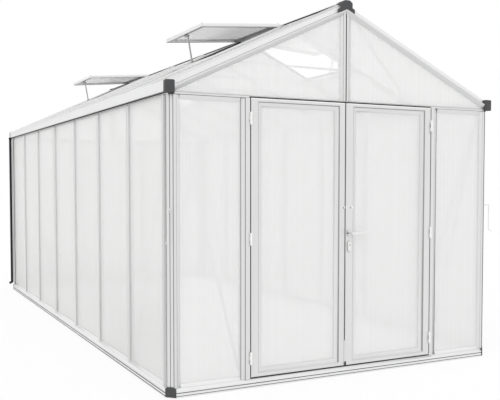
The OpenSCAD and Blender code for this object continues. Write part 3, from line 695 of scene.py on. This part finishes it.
def meeting_trim():
    """Cover strip on the meeting stile of the right leaf, with the filler under it."""
    made = Maker()
    made.box(RIGHT_IN + 1, RIGHT_IN + 16, FACE - 2.5, FACE + 1, STRIP_FOOT, LEAF_TOP - 1)
    made.done("meeting_strip", "metal_z", "right_door", 0.6)
    made = Maker()
    made.box(RIGHT_IN - DOOR_GAP + 1, RIGHT_IN + 1, FACE, FACE + 4, LEAF_BOTTOM + 24, STRIP_FOOT)
    made.done("meeting_filler", "metal_z", "right_door")
    made = Maker()
    made.box(RIGHT_IN + 1, RIGHT_IN + 9, FACE - 2.5, FACE + 2, LEAF_BOTTOM + 1, LEAF_BOTTOM + 24)
    made.done("meeting_gasket", "rubber", "right_door")


def leaf_bead_shading(name, side, body):
    """Painted shade along the joints between a leaf's profile and its beads, darker on the right
    and at the head, paler on the left; a metal strip keeps the foot's groove light.
    """
    x0, x1 = sorted((side * (LEAF_OUT - STILE), side * MEET_HALF))
    z0, z1 = LEAF_BOTTOM + RAIL, LEAF_TOP - RAIL
    y0, y1 = FACE + 4.4, FACE + 9
    made = Maker()
    made.box(x1 - 5.5, x1 - 0.2, y0, y1, z0 + 3, z1)
    made.box(x0 + 6, x1 - 6, y0, y1, z1 - 4.5, z1 - 0.2)
    made.done(name, "seam", body)
    made = Maker()
    made.box(x0 + 0.2, x0 + 5.5, y0, y1, z0 + 3, z1)
    made.done(name + "_side", "pale_seam", body)
    # Painted light: metal over the foot's groove, where the groove's shade would show
    made = Maker()
    made.box(x0, x1, y0 - 3, y1, z0 + 0.2, z0 + 3.6)
    made.done(name + "_foot", "metal_x", body)


def lock_details():
    """Key cylinder, a dark dot that paints the lever shaft's shadow beside the lever, and painted
    shade round the edges of the lock's plates.
    """
    made = Maker()
    made.rod((LOCK_X, PLATE_FACE - 1.5, KEY_Z + 12), (LOCK_X, PLATE_FACE + 2, KEY_Z + 12),
             9.0, sides=28)
    made.box(LOCK_X - 5, LOCK_X + 5, PLATE_FACE - 1.5, PLATE_FACE + 2, KEY_Z - 16, KEY_Z + 10)
    made.done("key_cylinder", "white_enamel", "right_door", 0.5)
    made = Maker()
    made.box(LOCK_X - 1.2, LOCK_X + 1.2, PLATE_FACE - 1.8, PLATE_FACE, KEY_Z + 7, KEY_Z + 18)
    made.done("key_slot", "rubber", "right_door")
    # Painted shadow of the lever's shaft
    made = Maker()
    made.rod((LOCK_X - 15, PLATE_FACE - 1.2, LEVER_Z), (LOCK_X - 15, FACE, LEVER_Z), 4.5)
    made.done("lever_shadow_dot", "rubber", "right_door")
    # Painted shade over the side walls of the lock's plates
    made = Maker()
    key_low, key_high = KEY_Z - 20, KEY_Z + 20
    front = PLATE_FACE + 0.8
    for z, radius in ((LEVER_Z, 19.8), (key_low, 16.8), (key_high, 16.8)):
        made.rod((LOCK_X, front, z), (LOCK_X, FACE + 1, z), radius, sides=40)
    made.box(LOCK_X - 16.8, LOCK_X + 16.8, front, FACE + 1, key_low, key_high)
    made.done("lock_edge_shade", "seam", "right_door")


def catch(name, x, tab, body):
    """Dark screw and the small white roller of the catch between the leaves."""
    made = Maker()
    made.rod((x, FACE + 1, CATCH_Z), (x, FACE - 1.6, CATCH_Z), 4.5, 3.6, 16)
    made.done(name + "_screw", "grey_rubber", body)
    made = Maker()
    made.box(tab - 4, tab + 4, FACE - 3.5, FACE + 1, CATCH_Z - 4, CATCH_Z + 11)
    made.done(name + "_tab", "white_enamel", body, 1.0)


# ---------------------------------------------------------------- dark lines in the profiles: painted shade, seams and seals

def corner_span(sign, half, near, far):
    """Two places along one axis, measured inwards from a face of the base."""
    return sign * (half - near), sign * (half - far)


def corner_point(sx, sy, x_in, y_in):
    """A point on the base's top, measured inwards from both faces at a corner."""
    return sx * (HALF_W - x_in), sy * (HALF_L - y_in), BASE_TOP


def rail_grooves():
    """Painted shade: dark strips in the grooves along the faces of the base rails."""
    made = Maker()
    depth = 8
    rail_in = 52
    for z0, z1 in ((27, 32), (9, 13)):
        for side in (-1, 1):
            x = side * (HALF_W - depth)
            made.box(x, x + side * 1.5, -HALF_L + rail_in, HALF_L - rail_in, z0, z1)
            y = side * (HALF_L - depth)
            made.box(-HALF_W + rail_in, HALF_W - rail_in, y, y + side * 1.5, z0, z1)
    made.done("rail_grooves", "shadow_gap")


def post_lines():
    """Dark lines of painted shade beside the jambs and at the corner posts, and beads beside the
    posts.
    """
    made = Maker()
    # Painted shade beside the jambs, where the slanted bead starts, and along its far edge
    x = JAMB + 31
    for side in (-1, 1):
        made.box(side * (x - 2), side * (x + 0.6), FACE + 3, FACE + 20, BASE_TOP, WALL_TOP)
        made.box(side * (x + 25), side * (x + 28), FACE + SHEET_IN - 2.5, FACE + SHEET_IN + 5,
                 BASE_TOP, WALL_TOP)
    # Painted shade in the slots of the corner posts, and lines of painted shade on their faces
    edge = Maker()
    middle = POST_IN + POST_CHAMFER / 2 + 8 / math.sqrt(2)
    half = 3.6 / math.sqrt(2)
    rise = (0, 0, WALL_TOP - BASE_TOP)
    for sx, sy in CORNERS:
        made.box(*corner_span(sx, HALF_W, POST_IN + 5, POST_IN + 6),
                 *corner_span(sy, HALF_L, POST_IN + POST_CHAMFER, POST_IN + POST_CHAMFER + 3),
                 BASE_TOP, WALL_TOP)
        for near, far in ((46, 48), (69, 70.6)):
            edge.box(*corner_span(sx, HALF_W, near, far),
                     *corner_span(sy, HALF_L, POST_IN - 0.4, 12), BASE_TOP, WALL_TOP)
        made.prism([corner_point(sx, sy, middle - half, middle + half),
                    corner_point(sx, sy, middle + half, middle - half),
                    corner_point(sx, sy, middle + half - 1, middle - half - 1),
                    corner_point(sx, sy, middle - half - 1, middle + half - 1)], rise)
    made.done("post_slots", "shadow_gap")
    edge.done("post_edge_shade", "seam")
    # Slanted beads of the side walls beside the posts
    bead = Maker()
    for sx, sy in CORNERS:
        bead.prism([corner_point(sx, sy, POST_IN + 1, 70), corner_point(sx, sy, POST_IN + 2, 98),
                    corner_point(sx, sy, SHEET_IN, 108), corner_point(sx, sy, SHEET_IN, 70)], rise)
    bead.done("post_beads", "metal_z", "house", 0.8)


def gable_grooves():
    """Dark strip of painted shade in the groove of each post in the gables, and pale seams on the
    posts.
    """
    made, pale = Maker(), Maker()
    for side in (-1, 1):
        y = side * (HALF_L - POST_IN)
        made.box(-3.2, 3.2, y + side * 0.4, y - side * 3, GABLE_FOOT, RIDGE_Z - 88)
        for x in (-21.5, 21.5):
            pale.box(x - 1.5, x + 1.5, y + side * 0.3, y - side * 3, GABLE_FOOT, RIDGE_Z - 98)
    made.done("gable_grooves", "rubber")
    pale.done("gable_seams", "pale_seam")


def bar_y(distance):
    """The place of a side bar that stands at a distance from the front of the base."""
    return distance - HALF_L


def roof_seals():
    """Rubber under the ridge cover, dark also as painted shade on its sides, and dark grey round
    the openings of the vents, part seal and part painted shade under the leaves.
    """
    made, rims = Maker(), Maker()
    end = HALF_L - 75
    z = RIDGE_Z - 44 * math.tan(PITCH)
    for side in (-1, 1):
        made.box(side * 43, side * 44.8, -end, end, z - 11, z - 1)
        for a, b in VENT_BAYS:
            y0, y1 = bar_y(a) + 18, bar_y(b) - 18
            for rim in ((50, 690, y0, y0 + 5), (50, 690, y1 - 5, y1), (668, 673, y0, y1)):
                rims.slab(side, *rim, -20, -9)
    made.done("roof_seals", "rubber")
    rims.done("rim_seals", "grey_rubber")


def vent_details():
    """Dark seals under each leaf's rim, deepened as painted shade, a strip of painted shade along
    its hinge and screws at its corners.
    """
    seals, strips, pins = Maker(), Maker(), Maker()
    hinge_x, hinge_z = VENT_HINGE
    place = Matrix.Translation((hinge_x * MM, 0, hinge_z * MM))
    place = place @ Matrix.Rotation(VENT_PITCH, 4, "Y")
    end = VENT_LEN - 2
    for side in (-1, 1):
        for a, b in VENT_BAYS:
            y0, y1 = bar_y(a) + VENT_GAP, bar_y(b) - VENT_GAP
            near, far = y0 + 6, y1 - 6
            for box in ((8, end, y0 + 1, near, -17, LEAF_UNDER),
                        (8, end, far, y1 - 1, -17, LEAF_UNDER),
                        (VENT_LEN - 7, end, near, far, -15.5, LEAF_UNDER)):
                seals.placed(place, side, seals.box, *box)
            strips.placed(place, side, strips.box, 0.5, 84, near, far, -15, LEAF_UNDER)
            for y in (y0 + 14, y1 - 14):
                for u in (20, VENT_LEN - 15):
                    pins.placed(place, side, pins.rod, (u, y, 11), (u, y, 14), 5, 4, 12)
    seals.done("vent_seals", "grey_rubber")
    strips.done("vent_hinge_shade", "hinge_shade")
    pins.done("vent_screws", "steel")


def eave_lines():
    """Painted shadow under the gutters, and seams along the heads of the side panels."""
    made, under = Maker(), Maker()
    end = HALF_L - 32
    for side in (-1, 1):
        x = side * (HALF_W - 17)
        made.box(x, x + side * 1.5, -end, end, *EAVE_SHADOW)
        x = side * (HALF_W - POST_IN)
        under.box(x, x - side * 8, -end + 30, end - 30, WALL_TOP, WALL_TOP + 1.5)
    made.done("eave_lines", "grey_rubber")
    under.done("head_seams", "seam")


def rake_lines():
    """Lines of painted shade over the ledge of each rake and lower on its face, and at the foot of
    its slanted bead.
    """
    made, pale = Maker(), Maker()
    for side in (-1, 1):
        for face in (-1, 1):
            y = face * HALF_L
            made.slab(side, 62, RAKE_END, y - face * 22.6, y - face * 21.4, -48.8, -46.4)
            pale.slab(side, 8, RAKE_END, y + face * 0.5, y - face * 1.5, -55.6, -54.2)
            pale.slab(side, 42, RAKE_END, y - face * (SHEET_IN - 1), y - face * (SHEET_IN + 2),
                      -80.5, -77.5)
    made.done("rake_shade_lines", "seam")
    pale.done("rake_shade_edges", "pale_seam")


def transom_lines():
    """Lines of painted shade over and under the transoms of both end walls."""
    made, low = Maker(), Maker()
    for side in (-1, 1):
        y = side * (HALF_L - POST_IN)
        inner = JAMB if side < 0 else 0
        for way in (-1, 1):
            a, b = way * inner, way * (HALF_W - 50)
            low.box(a, b, y + side * 0.5, y - side * 4, WALL_TOP - 1.4,
                    WALL_TOP + (1.8 if way < 0 else 0.8))
            made.box(a, b, y + side * 0.5, y - side * 4, WALL_TOP + 13, WALL_TOP + 15.4)
        if side < 0:
            made.box(-JAMB, JAMB, y - 0.6, y + 4, WALL_TOP + 13, WALL_TOP + 15.4)
    made.done("transom_shade_lines", "seam")
    low.done("transom_feet", "shadow_gap")
    # Rubber over the doors, dark also as painted shade in the gap over the leaves
    made = Maker()
    made.box(-JAMB, JAMB, FACE + POST_IN - 1.2, FACE + POST_IN + 4, LEAF_TOP + 5.2,
             LEAF_TOP + 8.5)
    made.done("head_seal", "rubber")


roof_seals()
vent_details()
eave_lines()
transom_lines()
rake_lines()
door_stops()
leaf_seals(-1, LEFT_IN, "left_door")
leaf_seals(1, RIGHT_IN, "right_door")
leaf_head_highlight(-1, LEFT_IN - 1, "left_door")
leaf_head_highlight(1, RIGHT_IN + 17, "right_door")
meeting_trim()
lock_details()
leaf_bead_shading("left_door_bead_shading", -1, "left_door")
leaf_bead_shading("right_door_bead_shading", 1, "right_door")
catch("catch_left", -21, LEFT_IN - 4.5, "left_door")
catch("catch_right", 33, 50, "right_door")
catch("strike", RIGHT_IN + 9, RIGHT_IN + 4.5, "right_door")
rail_grooves()
post_lines()
gable_grooves()

bpy.context.scene.view_settings.view_transform = "Standard"
bpy.context.view_layer.update()
